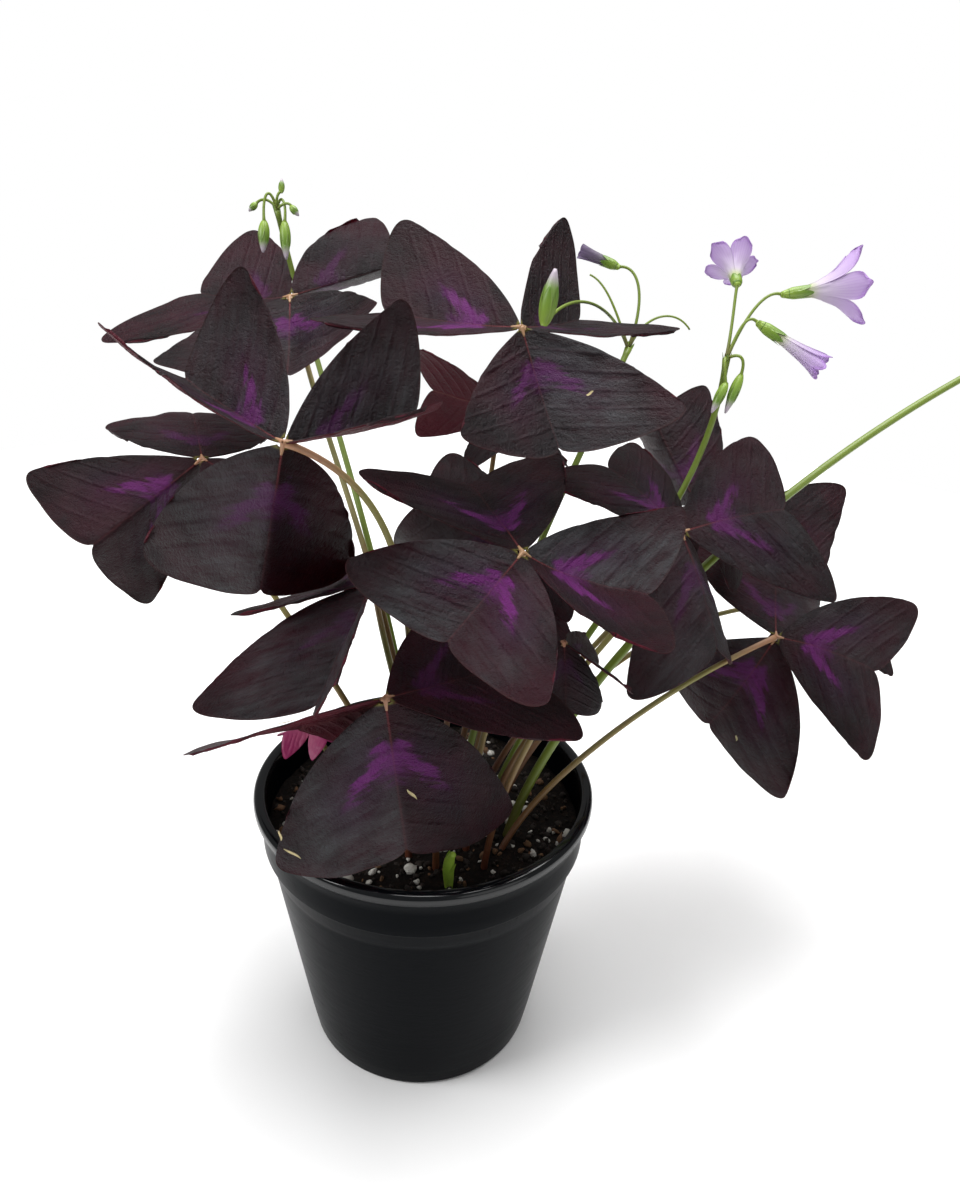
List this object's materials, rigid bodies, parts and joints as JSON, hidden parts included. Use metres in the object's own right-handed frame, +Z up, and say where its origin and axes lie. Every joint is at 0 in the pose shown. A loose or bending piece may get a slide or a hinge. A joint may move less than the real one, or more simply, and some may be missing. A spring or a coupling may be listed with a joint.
{
  "type": "potted purple shamrock",
  "caption": "Purple shamrock with folded triangular leaflets on slender stalks and pale lilac flowers, growing in a round black nursery pot.",
  "frame": {"origin": "centre of the underside of the pot, on the surface it stands on", "axes": "+Z up the pot's axis, -Y towards the front, +X to the right seen from the front"},
  "size_m": [0.3162, 0.1943, 0.2471],
  "materials": {
    "leaf_purple": "dark purple leaf, satin, finely wrinkled",
    "young_pink": "pink young leaf",
    "stalk_green": "yellow-green stalk, reddish at its foot",
    "flower_green": "fresh green stem",
    "petal_lilac": "thin pale lilac petal",
    "pot_black": "thin black moulded plastic",
    "soil_brown": "dark potting mix with white grains and bark"
  },
  "bodies": {
    "root": {"leaf_left_front_blades": "leaf_purple", "leaf_left_front_stalk": "stalk_green", "leaf_far_left_blades": "leaf_purple", "leaf_far_left_stalk": "stalk_green", "leaf_back_left_blades": "leaf_purple", "leaf_back_left_stalk": "stalk_green", "leaf_top_blades": "leaf_purple", "leaf_top_stalk": "stalk_green", "leaf_centre_blades": "leaf_purple", "leaf_centre_stalk": "stalk_green", "leaf_low_front_blades": "leaf_purple", "leaf_low_front_stalk": "stalk_green", "leaf_low_left_blades": "leaf_purple", "leaf_low_left_stalk": "stalk_green", "leaf_right_blades": "leaf_purple", "leaf_right_stalk": "stalk_green", "leaf_far_right_blades": "leaf_purple", "leaf_far_right_stalk": "stalk_green", "leaf_back_right_blades": "leaf_purple", "leaf_back_right_stalk": "stalk_green", "leaf_behind_right_blades": "leaf_purple", "leaf_behind_right_stalk": "stalk_green", "leaf_behind_centre_blades": "leaf_purple", "leaf_behind_centre_stalk": "stalk_green", "leaf_back_centre_blades": "leaf_purple", "leaf_back_centre_stalk": "stalk_green", "leaf_small_right_blades": "leaf_purple", "leaf_small_right_stalk": "stalk_green", "leaf_young_blades": "young_pink", "leaf_young_stalk": "stalk_green", "umbel_left_stem": "flower_green", "umbel_middle_stem": "flower_green", "umbel_right_stem": "flower_green", "umbel_outer_stem": "flower_green", "flower_wilted": "petal_lilac", "flower_seen_from_behind": "petal_lilac", "flower_open": "petal_lilac", "flower_half_closed": "petal_lilac", "sprout": "flower_green", "pot": "pot_black", "soil": "soil_brown"}
  },
  "joints": []
}
